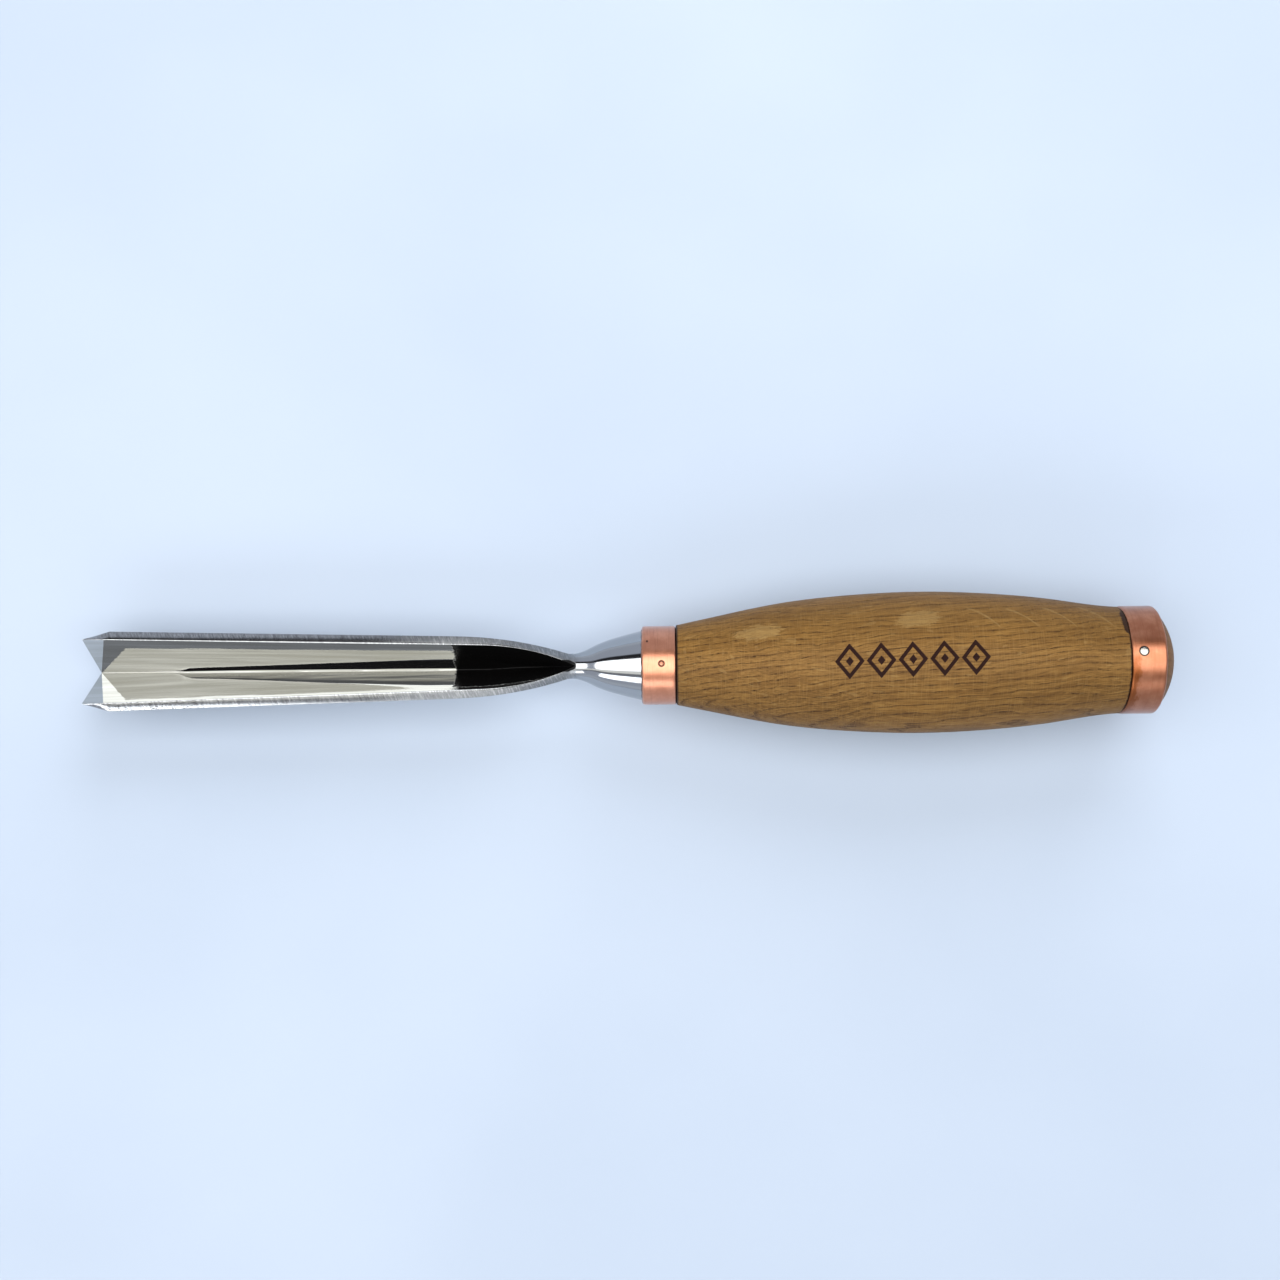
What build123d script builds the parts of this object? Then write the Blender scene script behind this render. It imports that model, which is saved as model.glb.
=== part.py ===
from build123d import *

import os
from math import cos, radians, sin, sqrt, tan

os.makedirs("parts", exist_ok=True)

# A heavy V gouge (parting tool) that is pushed by hand or struck with a mallet: one forged steel
# blade with a tang, glued into a turned oak handle that two copper rings keep from splitting.
#
# Millimetres. X runs along the tool, from the cutting edge (-X) to the butt (+X), Z points up out
# of the open trough, and the origin is on the tool's axis, at the middle of the front ferrule.

# ---- blade: the V trough -----------------------------------------------------------------------
EDGE_X = -161.4  # the cutting edge lies square across the tool at this station
WING_TOP_Z = 3.6  # both wing tops lie in one level plane, which the neck's crown meets
V_HALF_ANGLE = 30.5  # each wing leans this far from upright: a 60 degree V, ground a little open
OPENING_W = 18.0  # across the trough between the two corners of the cutting edge
WALL_T = 2.1  # square to the wing's faces
TAPER_DEG = 2.5  # the keel and the trough's bottom climb together towards the neck
BEVEL_DEG = 14.8  # sharpening bevel against the tool's axis, ground on the outside only
TROUGH_ARC_X = -49.2  # here the trough's bottom leaves its straight run
TROUGH_ARC_R = 43.0
KEEL_ARC_X = -57.0  # and here the keel leaves its own
KEEL_ARC_R = 72.0

# ---- blade: neck, bolster and tang -------------------------------------------------------------
NOSE_X = -38.0  # the round neck fades into the thick end of the V from here
NECK_X = -24.0
NECK_R = 3.6
FLARE_OUTLINE = [(-17.2, 6.1), (-11.5, 8.06)]  # (station, radius) between neck and bolster
BOLSTER_R = 9.8
BOLSTER_X = -4.6  # the flare ends here, just inside the mouth of the ferrule
BOLSTER_BACK_X = -2.5
TANG_ROOT_W = 7.0
TANG_END_W = 3.6
TANG_END_X = 66.0

# ---- copper rings ------------------------------------------------------------------------------
RING_WALL = 1.0
RING_EDGE_R = 0.8  # rounded outer edges
FERRULE_R = 11.0
FERRULE_L = 9.6
HOOP_R = 15.0
HOOP_L = 9.6
HOOP_X = 127.4

# ---- oak handle --------------------------------------------------------------------------------
GLUE_BED_T = 0.3  # glue between the bolster's back and the end of the wood
HANDLE_FRONT_R = 11.15
BELLY_X = 73.0
BELLY_R = 19.7
HANDLE_REAR_R = 14.85
BUTT_X = 142.2
HANDLE_OUTLINE = [  # stations between the front shoulder, the belly and the rear shoulder
    (17.0, 13.7),
    (33.8, 16.95),
    (50.6, 18.8),
    (BELLY_X, BELLY_R),
    (92.6, 18.9),
    (109.4, 17.15),
    (119.5, 15.6),
]
TANG_HOLE = [(20.0, 5.2), (43.0, 4.3), (TANG_END_X + 2.0, 3.5)]  # (depth station, drill radius)

# ---- the two pins ------------------------------------------------------------------------------
FERRULE_PIN_X = 0.7
FERRULE_PIN_TURN = 1.0  # degrees round the tool from straight up
FERRULE_PIN_R = 0.85
FERRULE_PIN_L = 4.6
FERRULE_PIN_HEAD_H = 0.1
HOOP_PIN_X = 130.6
HOOP_PIN_TURN = 7.5
HOOP_PIN_R = 0.7
HOOP_PIN_L = 13.0
HOOP_PIN_HEAD_R = 1.3
HOOP_PIN_HEAD_H = 0.2  # a low head, almost flush with the hoop

# ---- worked out from the driving dimensions ----------------------------------------------------
WING_SLOPE = 1 / tan(radians(V_HALF_ANGLE))  # rise of a wing's face per millimetre of width
RULING = Vector(0, sin(radians(V_HALF_ANGLE)), cos(radians(V_HALF_ANGLE)))
TROUGH_TIP_Z = WING_TOP_Z - OPENING_W / 2 * WING_SLOPE
KEEL_TIP_Z = TROUGH_TIP_Z - WALL_T / sin(radians(V_HALF_ANGLE))
FERRULE_FRONT_X = -FERRULE_L / 2
FERRULE_BACK_X = FERRULE_L / 2
WOOD_FRONT_X = BOLSTER_BACK_X + GLUE_BED_T
DOME_BASE_R = HOOP_R - RING_WALL
DOME_H = BUTT_X - HOOP_X - HOOP_L
DOME_R = (DOME_BASE_R**2 + DOME_H**2) / (2 * DOME_H)
WING_REACH = 2 * OPENING_W  # how far each wing's sweep runs before it is trimmed
SPARE = 5.0  # overshoot of a cutting shape past the face that it cuts


def climbing_side(tip_z, arc_x, arc_r, top_z):
    """Draw a side view whose lower edge climbs on a straight run, then on a tangent arc."""
    climb = tan(radians(TAPER_DEG))
    start = Vector(EDGE_X - SPARE, tip_z - SPARE * climb)
    arc_start = Vector(arc_x, tip_z + (arc_x - EDGE_X) * climb)
    upright = Vector(-sin(radians(TAPER_DEG)), cos(radians(TAPER_DEG)))
    centre = arc_start + upright * arc_r
    end = Vector(centre.X + sqrt(arc_r**2 - (centre.Y - top_z) ** 2), top_z)
    with BuildSketch(Plane.XZ) as side:
        with BuildLine():
            Line(start, arc_start)
            TangentArc(arc_start, end, tangent=arc_start - start)
            Polyline(end, (start.X, top_z), start)
        make_face()
    return side.sketch


def square_across(x, width):
    """Draw a square of this width, with eased corners, across the tool's axis at station x."""
    with BuildSketch(Plane.YZ.offset(x)) as square:
        RectangleRounded(width, width, width / 12)
    return square.sketch


def outward(turn):
    """Give the direction away from the tool's axis, turned this many degrees from straight up."""
    return Vector(0, sin(radians(turn)), cos(radians(turn)))


def pin_side(x, turn, seat_r, length, shank_r, head_r, head_h):
    """Draw half a pin that points at the tool's axis, its low domed head seated at seat_r."""
    view = Plane(origin=(x, 0, 0), x_dir=(1, 0, 0), z_dir=Vector(1, 0, 0).cross(outward(turn)))
    point_r = seat_r - length
    crown_r = seat_r + head_h
    with BuildSketch(view) as side:
        with BuildLine():
            Polyline((0, crown_r), (0, point_r), (shank_r, point_r), (shank_r, seat_r))
            if head_r > shank_r:
                Line((shank_r, seat_r), (head_r, seat_r))
            TangentArc((0, crown_r), (head_r, seat_r), tangent=(1, 0))
        make_face()
    return side.sketch


def tube_end(x, outer_r):
    """Draw the end of a copper tube round the tool's axis at station x."""
    with BuildSketch(Plane.YZ.offset(x)) as end:
        Circle(outer_r)
        Circle(outer_r - RING_WALL, mode=Mode.SUBTRACT)
    return end.sketch


def outer_rims(ring):
    """Pick the two largest circles of a ring."""
    return ring.edges().filter_by(GeomType.CIRCLE).group_by(lambda edge: edge.radius)[-1]


# ---- blade -------------------------------------------------------------------------------------
with BuildPart() as blade:
    # The outside of the V: the side view swept along the slope of each wing.
    keel_side = climbing_side(KEEL_TIP_Z, KEEL_ARC_X, KEEL_ARC_R, WING_TOP_Z)
    extrude(keel_side, amount=WING_REACH, dir=RULING)
    mirror(about=Plane.XZ)
    split(bisect_by=Plane.XY.offset(WING_TOP_Z), keep=Keep.BOTTOM)

    # The neck and the flared bolster are turned.
    with BuildSketch(Plane.XZ):
        with BuildLine():
            Spline((NOSE_X, 0), (NECK_X, NECK_R), tangents=[(0.6, 1), (1, 0)])
            Spline(
                (NECK_X, NECK_R),
                *FLARE_OUTLINE,
                (BOLSTER_X, BOLSTER_R),
                tangents=[(1, 0), (1, 0.22)],
            )
            Polyline(
                (BOLSTER_X, BOLSTER_R),
                (BOLSTER_BACK_X, BOLSTER_R),
                (BOLSTER_BACK_X, 0),
                (NOSE_X, 0),
            )
        make_face()
    revolve(axis=Axis.X)

    # The trough runs out in an arc where the V closes on the neck.
    trough_side = climbing_side(TROUGH_TIP_Z, TROUGH_ARC_X, TROUGH_ARC_R, WING_TOP_Z + 1)
    for side in (1, -1):
        ruling = Vector(0, side * RULING.Y, RULING.Z)
        extrude(trough_side, amount=WING_REACH, dir=ruling, mode=Mode.SUBTRACT)

    # Two sharpening bevels, each a plane through its own half of the cutting edge.
    for side in (1, -1):
        away = Vector(
            -sin(radians(BEVEL_DEG)),
            side * cos(radians(BEVEL_DEG)) * cos(radians(V_HALF_ANGLE)),
            -cos(radians(BEVEL_DEG)) * sin(radians(V_HALF_ANGLE)),
        )
        split(bisect_by=Plane(origin=(EDGE_X, 0, TROUGH_TIP_Z), z_dir=away), keep=Keep.BOTTOM)

    # The square tang tapers into the handle.
    loft(
        [square_across(BOLSTER_BACK_X, TANG_ROOT_W), square_across(TANG_END_X, TANG_END_W)]
    )
blade.part.label = "blade"

# ---- pins --------------------------------------------------------------------------------------
with BuildPart() as ferrule_pin:
    ferrule_pin_side = pin_side(
        FERRULE_PIN_X,
        FERRULE_PIN_TURN,
        FERRULE_R,
        FERRULE_PIN_L,
        FERRULE_PIN_R,
        FERRULE_PIN_R,
        FERRULE_PIN_HEAD_H,
    )
    revolve(ferrule_pin_side, axis=Axis((FERRULE_PIN_X, 0, 0), outward(FERRULE_PIN_TURN)))
ferrule_pin.part.label = "ferrule_pin"

with BuildPart() as hoop_pin:
    hoop_pin_side = pin_side(
        HOOP_PIN_X,
        HOOP_PIN_TURN,
        HOOP_R,
        HOOP_PIN_L,
        HOOP_PIN_R,
        HOOP_PIN_HEAD_R,
        HOOP_PIN_HEAD_H,
    )
    revolve(hoop_pin_side, axis=Axis((HOOP_PIN_X, 0, 0), outward(HOOP_PIN_TURN)))
hoop_pin.part.label = "hoop_pin"

# ---- copper rings ------------------------------------------------------------------------------
with BuildPart() as front_ferrule:
    extrude(tube_end(FERRULE_FRONT_X, FERRULE_R), amount=FERRULE_L)
    fillet(outer_rims(front_ferrule), radius=RING_EDGE_R)
    add(ferrule_pin.part, mode=Mode.SUBTRACT)
front_ferrule.part.label = "front_ferrule"

with BuildPart() as end_hoop:
    extrude(tube_end(HOOP_X, HOOP_R), amount=HOOP_L)
    fillet(outer_rims(end_hoop), radius=RING_EDGE_R)
    add(hoop_pin.part, mode=Mode.SUBTRACT)
end_hoop.part.label = "end_hoop"

# ---- oak handle --------------------------------------------------------------------------------
with BuildPart() as handle:
    # Turned outside: a spigot for each ring, the barrel between them and the domed butt.
    ferrule_seat_r = FERRULE_R - RING_WALL
    hoop_seat_r = HOOP_R - RING_WALL
    dome_x = HOOP_X + HOOP_L
    with BuildSketch(Plane.XZ):
        with BuildLine():
            Polyline(
                (WOOD_FRONT_X, 0),
                (WOOD_FRONT_X, ferrule_seat_r),
                (FERRULE_BACK_X, ferrule_seat_r),
                (FERRULE_BACK_X, HANDLE_FRONT_R),
            )
            Spline(
                (FERRULE_BACK_X, HANDLE_FRONT_R),
                *HANDLE_OUTLINE,
                (HOOP_X, HANDLE_REAR_R),
                tangents=[(1, 0.21), (1, -0.03)],
            )
            Polyline((HOOP_X, HANDLE_REAR_R), (HOOP_X, hoop_seat_r), (dome_x, hoop_seat_r))
            RadiusArc((dome_x, hoop_seat_r), (BUTT_X, 0), DOME_R)
            Line((BUTT_X, 0), (WOOD_FRONT_X, 0))
        make_face()
    revolve(axis=Axis.X)
    # The stepped hole that the tang is driven into.
    for depth_x, drill_r in TANG_HOLE:
        with BuildSketch(Plane.YZ.offset(WOOD_FRONT_X)):
            Circle(drill_r)
        extrude(amount=depth_x - WOOD_FRONT_X, mode=Mode.SUBTRACT)
    for pin in (ferrule_pin, hoop_pin):
        add(pin.part, mode=Mode.SUBTRACT)
handle.part.label = "handle"

# ---- tang adhesive -----------------------------------------------------------------------------
with BuildPart() as tang_adhesive:
    # It fills the drilled hole, the bed behind the bolster and the ring round the bolster.
    for depth_x, drill_r in TANG_HOLE:
        with BuildSketch(Plane.YZ.offset(WOOD_FRONT_X)):
            Circle(drill_r)
        extrude(amount=depth_x - WOOD_FRONT_X)
    with BuildSketch(Plane.YZ.offset(BOLSTER_X)):
        Circle(ferrule_seat_r)
    extrude(amount=WOOD_FRONT_X - BOLSTER_X)
    add(blade.part, mode=Mode.SUBTRACT)
tang_adhesive.part.label = "tang_adhesive"

for piece in (blade, handle, front_ferrule, end_hoop, ferrule_pin, hoop_pin, tang_adhesive):
    export_step(piece.part, f"parts/{piece.part.label}.step")
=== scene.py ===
import math

import bmesh
import bpy
import numpy as np
from mathutils import Matrix, Vector


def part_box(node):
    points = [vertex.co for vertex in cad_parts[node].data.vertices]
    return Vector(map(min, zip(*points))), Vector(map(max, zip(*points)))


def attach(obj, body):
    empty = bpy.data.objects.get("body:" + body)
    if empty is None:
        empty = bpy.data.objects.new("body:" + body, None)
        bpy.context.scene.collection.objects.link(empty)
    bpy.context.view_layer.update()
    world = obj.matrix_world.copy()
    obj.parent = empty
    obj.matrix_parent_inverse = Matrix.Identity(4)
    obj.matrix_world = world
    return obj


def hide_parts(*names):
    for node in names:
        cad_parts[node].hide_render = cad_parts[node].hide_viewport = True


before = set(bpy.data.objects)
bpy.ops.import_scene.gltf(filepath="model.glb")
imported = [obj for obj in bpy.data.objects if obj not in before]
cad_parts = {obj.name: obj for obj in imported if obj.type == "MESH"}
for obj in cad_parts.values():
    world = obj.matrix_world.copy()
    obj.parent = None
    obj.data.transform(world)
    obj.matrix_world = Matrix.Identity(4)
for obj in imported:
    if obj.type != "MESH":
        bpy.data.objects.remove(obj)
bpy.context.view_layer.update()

# A heavy V gouge with a turned oak handle and two copper rings. Lengths are millimetres until a
# mesh is made, and lights are placed in metres. X runs from the cutting edge (-X)
# to the butt (+X), and Z points up out of the trough.

MM = 0.001


def node_box(name):
    """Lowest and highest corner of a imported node, in millimetres."""
    low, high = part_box(name)
    return np.array(low) / MM, np.array(high) / MM


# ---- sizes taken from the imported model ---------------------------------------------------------
BLADE_LOW, BLADE_HIGH = node_box("blade")
HANDLE_LOW, HANDLE_HIGH = node_box("handle")
FERRULE_LOW, FERRULE_HIGH = node_box("front_ferrule")
HOOP_LOW, HOOP_HIGH = node_box("end_hoop")
EDGE_X = BLADE_LOW[0]
TANG_END_X = BLADE_HIGH[0]
BOLSTER_R = BLADE_HIGH[2]
WOOD_FRONT_X = HANDLE_LOW[0]
BUTT_X = HANDLE_HIGH[0]
FERRULE_FRONT_X, FERRULE_BACK_X = FERRULE_LOW[0], FERRULE_HIGH[0]
FERRULE_R = FERRULE_HIGH[1]
HOOP_X, HOOP_END_X = HOOP_LOW[0], HOOP_HIGH[0]
HOOP_R = HOOP_HIGH[1]

# ---- sizes shared with the blade's design ------------------------------------------------------
WING_TOP_Z = 3.6
V_HALF = math.radians(30.5)
TROUGH_HALF = math.radians(30.75)  # polishing opens the trough a little
OPENING_W = 18.0
WALL_T = 2.1
FACET_SLOPE = 1.11  # rise per millimetre of a narrow facet that polishing left beside the bottom
CLIMB = math.tan(math.radians(2.5))
BEVEL = math.radians(14.8)
TROUGH_ARC_X, TROUGH_ARC_R = -49.2, 43.0
KEEL_ARC_X, KEEL_ARC_R = -57.0, 72.0
NOSE_X = -38.0
NECK_X, NECK_R = -24.0, 3.6
BOLSTER_X, BOLSTER_BACK_X = -4.6, -2.5
FLARE = [(NECK_X, NECK_R), (-17.2, 6.1), (-11.5, 8.06), (BOLSTER_X, BOLSTER_R)]
TANG_ROOT_W, TANG_END_W = 7.0, 3.6
RING_WALL, RING_EDGE_R = 1.0, 0.8
TROUGH_TIP_Z = WING_TOP_Z - OPENING_W / 2 / math.tan(V_HALF)
# Each pin points at the axis from turn degrees round the tool, from straight up towards +Y.
# seat is the radius of its ring and crown the height of its head; head and shank are radii.
FERRULE_PIN = {
    "x": 0.7,
    "turn": 1.0,
    "seat": FERRULE_R,
    "length": 4.6,
    "shank": 0.85,
    "head": 0.85,
    "crown": 0.1,
}
HOOP_PIN = {
    "x": 130.6,
    "turn": 7.5,
    "seat": HOOP_R,
    "length": 13.0,
    "shank": 0.7,
    "head": 1.3,
    "crown": 0.2,
}

# ---- sizes shared with the handle's design -----------------------------------------------------
BARREL = [
    (FERRULE_BACK_X, 11.15),
    (17.0, 13.7),
    (33.8, 16.95),
    (50.6, 18.8),
    (73.0, 19.7),
    (92.6, 18.9),
    (109.4, 17.15),
    (119.5, 15.6),
    (HOOP_X, 14.85),
]
BARREL_SLOPES = (0.21, -0.03)
TANG_HOLE = [(20.0, 5.2), (43.0, 4.3), (68.0, 3.5)]
BELLY_X, BELLY_R = 73.0, 19.7
HEEL_X, HEEL_Z = -154.07, -15.50  # where the sharpening bevel meets the keel


# ---- the lie of the tool on its floor ----------------------------------------------------------
ROLL = math.radians(2.5)  # the open trough leans a little towards +Y


def floor_frame():
    """Directions along the tool and across it on the floor, and straight up from the floor.

    The floor touches the keel's heel and the barrel's belly; its upward direction is rolled ROLL
    away from the tool's own.
    """
    up = Vector((0, -math.sin(ROLL), math.cos(ROLL)))
    heel = Vector((HEEL_X, 0, HEEL_Z))
    belly = Vector((BELLY_X, 0, 0)) - BELLY_R * up
    along = (belly - heel).normalized()
    up = (up - up.dot(along) * along).normalized()
    return along, up.cross(along), up, heel


ALONG, ACROSS, UP, HEEL = floor_frame()


# ---- camera ------------------------------------------------------------------------------------
def add_camera():
    """A camera straight above the tool that looks square down on the floor."""
    turn = 0.0150  # radians: the tool lies this far round in the frame
    aside, above, height = -5.35, 7.09, 431.2  # place of the lens seen from the tool's origin
    right = ALONG * math.cos(turn) - ACROSS * math.sin(turn)
    top = ALONG * math.sin(turn) + ACROSS * math.cos(turn)
    place = (aside * right + above * top + height * UP) * MM
    data = bpy.data.cameras.new("camera")
    data.sensor_width = 36.0
    data.lens = 43.31
    data.clip_start, data.clip_end = 0.01, 50
    camera = bpy.data.objects.new("camera", data)
    bpy.context.collection.objects.link(camera)
    turned = Matrix((right, top, UP)).transposed().to_4x4()
    camera.matrix_world = Matrix.Translation(place) @ turned
    bpy.context.scene.camera = camera


add_camera()
bpy.context.scene.view_settings.view_transform = "Standard"


# ---- shader arithmetic -------------------------------------------------------------------------
class Val:
    """A socket in a node tree. Arithmetic on it adds Math nodes; node() adds any other node."""

    def __init__(self, tree, socket=None):
        self.tree = tree
        self.socket = socket

    def node(self, kind, settings=None, inputs=None, out=0):
        """Add a node: its settings first, then the values or links of its sockets."""
        made = self.tree.nodes.new(kind)
        for name, value in (settings or {}).items():
            if name == "stops":
                ramp = made.color_ramp
                while len(ramp.elements) < len(value):
                    ramp.elements.new(0.5)
                for element, (place, colour) in zip(ramp.elements, value):
                    element.position = place
                    element.color = colour
            else:
                setattr(made, name, value)
        for name, value in (inputs or {}).items():
            if isinstance(value, Val):
                self.tree.links.new(value.socket, made.inputs[name])
            else:
                made.inputs[name].default_value = value
        return Val(self.tree, made.outputs[out]) if made.outputs else None

    def math(self, operation, *others):
        values = dict(enumerate((self, *others)))
        return self.node("ShaderNodeMath", {"operation": operation}, values)

    def __add__(self, other):
        return self.math("ADD", other)

    __radd__ = __add__

    def __sub__(self, other):
        return self.math("SUBTRACT", other)

    def __rsub__(self, other):
        return self.node("ShaderNodeMath", {"operation": "SUBTRACT"}, {0: other, 1: self})

    def __mul__(self, other):
        return self.math("MULTIPLY", other)

    def __truediv__(self, other):
        return self.math("DIVIDE", other)

    def __pow__(self, other):
        return self.math("POWER", other)

    def __abs__(self):
        return self.math("ABSOLUTE")

    def least(self, other):
        return self.math("MINIMUM", other)

    def most(self, other):
        return self.math("MAXIMUM", other)

    def rise(self, low, high):
        """0 below low, 1 above high and a smooth step between."""
        settings = {"interpolation_type": "SMOOTHSTEP"}
        return self.node(
            "ShaderNodeMapRange", settings, {"Value": self, "From Min": low, "From Max": high}
        )

    def band(self, low, high, soft):
        """1 between low and high, 0 outside, with soft edges."""
        return self.rise(low - soft, low + soft) * (1 - self.rise(high - soft, high + soft))

    def mix(self, first, second):
        """Colour that goes from first to second as this value goes from 0 to 1."""
        return self.node(
            "ShaderNodeMix", {"data_type": "RGBA"}, {0: self, 6: first, 7: second}, out=2
        )


def rgb(red, green, blue):
    return (red, green, blue, 1.0)


class Finish:
    """A new material whose patterns read the object's own coordinates in millimetres."""

    def __init__(self, name):
        self.material = bpy.data.materials.new(name)
        self.material.use_nodes = True
        self.tree = self.material.node_tree
        self.tree.nodes.clear()
        self.start = Val(self.tree)
        self.place = self.start.node("ShaderNodeTexCoord", out="Object")
        parts = [
            self.start.node("ShaderNodeSeparateXYZ", None, {0: self.place}, out=axis)
            for axis in "XYZ"
        ]
        self.x, self.y, self.z = [part * (1 / MM) for part in parts]

    def attribute(self, name):
        """A number stored on the piece's points."""
        return self.start.node("ShaderNodeAttribute", {"attribute_name": name}, out="Fac")

    def vector(self, x, y, z):
        return self.start.node("ShaderNodeCombineXYZ", None, {0: x, 1: y, 2: z})

    def noise(self, sizes, detail, rough, place=None, shift=0.0):
        """Noise whose lumps measure about sizes, in millimetres along X, Y and Z."""
        scaled = self.start.node(
            "ShaderNodeVectorMath",
            {"operation": "MULTIPLY_ADD"},
            {
                0: place or self.place,
                1: [(1.0 if place else 1 / MM) / size for size in sizes],
                2: (shift, shift * 0.7, shift * 1.3),
            },
        )
        return self.start.node(
            "ShaderNodeTexNoise",
            None,
            {"Vector": scaled, "Scale": 1.0, "Detail": detail, "Roughness": rough},
        )

    def away(self, pin):
        """Distance in plan from the middle of a pin's head."""
        off_x = self.x - pin["x"]
        off_y = self.y - pin["seat"] * math.sin(math.radians(pin["turn"]))
        return (off_x * off_x + off_y * off_y) ** 0.5

    def bump(self, height, distance, normal=None):
        """A normal tilted by a height map; distance is the height of 1.0, in millimetres."""
        inputs = {"Height": height, "Distance": distance * MM, "Strength": 1.0}
        if normal:
            inputs["Normal"] = normal
        return self.start.node("ShaderNodeBump", None, inputs)

    def done(self, inputs):
        """Join a Principled surface with these sockets to the output."""
        surface = self.start.node("ShaderNodeBsdfPrincipled", None, inputs)
        self.start.node("ShaderNodeOutputMaterial", None, {"Surface": surface})
        return self.material


# ---- meshes ------------------------------------------------------------------------------------
CRISP = math.radians(38)
MERGE, SLIVER = 2e-6, 1e-7  # metres


def smooth_step(value, low, high):
    """0 below low, 1 above high and a smooth step between."""
    t = np.clip((value - low) / (high - low), 0, 1)
    return t * t * (3 - 2 * t)


def soft_least(a, b, k):
    """The lesser of two arrays, blended over a difference of k."""
    h = np.clip(0.5 + 0.5 * (b - a) / k, 0, 1)
    return b + (a - b) * h - k * h * (1 - h)


def soft_most(a, b, k):
    """The greater of two arrays, blended over a difference of k."""
    return -soft_least(-a, -b, k)


def spread(count, crowding):
    """0 to 1 in count steps that crowd towards both ends: u - c sin(2 pi u) / (2 pi)."""
    u = np.linspace(0, 1, count + 1)
    return u - crowding * np.sin(2 * np.pi * u) / (2 * np.pi)


def spline_through(points, slopes):
    """Cubic spline r(x) through the points with the given end slopes, as a function of arrays."""
    x, r = np.array(points, float).T
    h = np.diff(x)
    count = len(x)
    lhs = np.zeros((count, count))
    rhs = np.zeros(count)
    lhs[0, 0] = lhs[-1, -1] = 1
    rhs[0], rhs[-1] = slopes
    inner = np.arange(1, count - 1)
    lhs[inner, inner - 1] = 1 / h[:-1]
    lhs[inner, inner] = 2 / h[:-1] + 2 / h[1:]
    lhs[inner, inner + 1] = 1 / h[1:]
    rhs[1:-1] = 3 * (np.diff(r)[:-1] / h[:-1] ** 2 + np.diff(r)[1:] / h[1:] ** 2)
    slope = np.linalg.solve(lhs, rhs)

    def radius(at):
        i = np.clip(np.searchsorted(x, at) - 1, 0, count - 2)
        t = (at - x[i]) / h[i]
        return (
            r[i] * (1 + 2 * t) * (1 - t) ** 2
            + r[i + 1] * t * t * (3 - 2 * t)
            + h[i] * slope[i] * t * (1 - t) ** 2
            - h[i] * slope[i + 1] * t * t * (1 - t)
        )

    return radius


def piece_from_grid(name, grid, finish, node, attributes=None, wrap_rows=False):
    """Make a piece of a grid of points (rows, columns, 3) whose columns close on themselves.

    Doubled points are merged, so a row of equal points is a pole. Edges that turn more than
    CRISP stay crisp, and the faces are turned outwards.
    """
    rows, cols = grid.shape[:2]
    index = np.arange(rows * cols).reshape(rows, cols)
    below = index if wrap_rows else index[:-1]
    above = np.roll(index, -1, axis=0) if wrap_rows else index[1:]
    quads = np.stack([below, np.roll(below, -1, 1), np.roll(above, -1, 1), above], -1)
    mesh = bpy.data.meshes.new(name)
    mesh.from_pydata((grid.reshape(-1, 3) * MM).tolist(), [], quads.reshape(-1, 4).tolist())
    for key, values in (attributes or {}).items():
        layer = mesh.attributes.new(key, "FLOAT", "POINT")
        layer.data.foreach_set("value", np.ascontiguousarray(values, dtype=np.float32).ravel())
    shell = bmesh.new()
    shell.from_mesh(mesh)
    bmesh.ops.remove_doubles(shell, verts=shell.verts, dist=MERGE)
    bmesh.ops.dissolve_degenerate(shell, dist=SLIVER, edges=shell.edges)
    bmesh.ops.recalc_face_normals(shell, faces=shell.faces)
    for face in shell.faces:
        face.smooth = True
    for edge in shell.edges:
        edge.smooth = not edge.is_manifold or edge.calc_face_angle(0) < CRISP
    shell.to_mesh(mesh)
    shell.free()
    piece = bpy.data.objects.new(name, mesh)
    bpy.context.collection.objects.link(piece)
    mesh.materials.append(finish)
    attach(piece, "root")
    if node:
        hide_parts(node)
    return piece


# ---- floor and light ---------------------------------------------------------------------------
def floor_finish():
    f = Finish("pale_board")
    cloud = f.noise((170, 130, 130), 3, 0.5)
    colour = cloud.rise(0.3, 0.7).mix(rgb(0.340, 0.395, 0.476), rgb(0.366, 0.421, 0.502))
    grain = f.noise((1.2, 1.2, 1.2), 2, 0.6)
    return f.done({"Base Color": colour, "Roughness": 0.75, "Normal": f.bump(grain, 0.004)})


def add_floor():
    """A level board 6 m square under the tool."""
    reach = 3000.0
    corners = [
        (HEEL + (ALONG * a + ACROSS * b) * reach) * MM
        for a, b in ((-1, -1), (1, -1), (1, 1), (-1, 1))
    ]
    mesh = bpy.data.meshes.new("floor")
    mesh.from_pydata([tuple(c) for c in corners], [], [(0, 1, 2, 3)])
    mesh.materials.append(floor_finish())
    floor = bpy.data.objects.new("floor", mesh)
    bpy.context.collection.objects.link(floor)


def add_soft_light(name, place, aim, across, along, radiance, colour, mirrored=True):
    """A soft box at place, facing aim, in metres; its power gives the radiance from its area.

    A box that isn't mirrored lights the tool but doesn't show in its polished faces.
    """
    data = bpy.data.lights.new(name, "AREA")
    data.shape = "RECTANGLE"
    data.size = along
    data.size_y = across
    data.energy = radiance * math.pi * across * along
    data.color = colour
    lamp = bpy.data.objects.new(name, data)
    bpy.context.collection.objects.link(lamp)
    back = (Vector(place) - Vector(aim)).normalized()
    side = Vector((1, 0, 0))
    turned = Matrix((side, back.cross(side), back)).transposed().to_4x4()
    lamp.matrix_world = Matrix.Translation(Vector(place)) @ turned
    lamp.visible_glossy = mirrored


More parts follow.
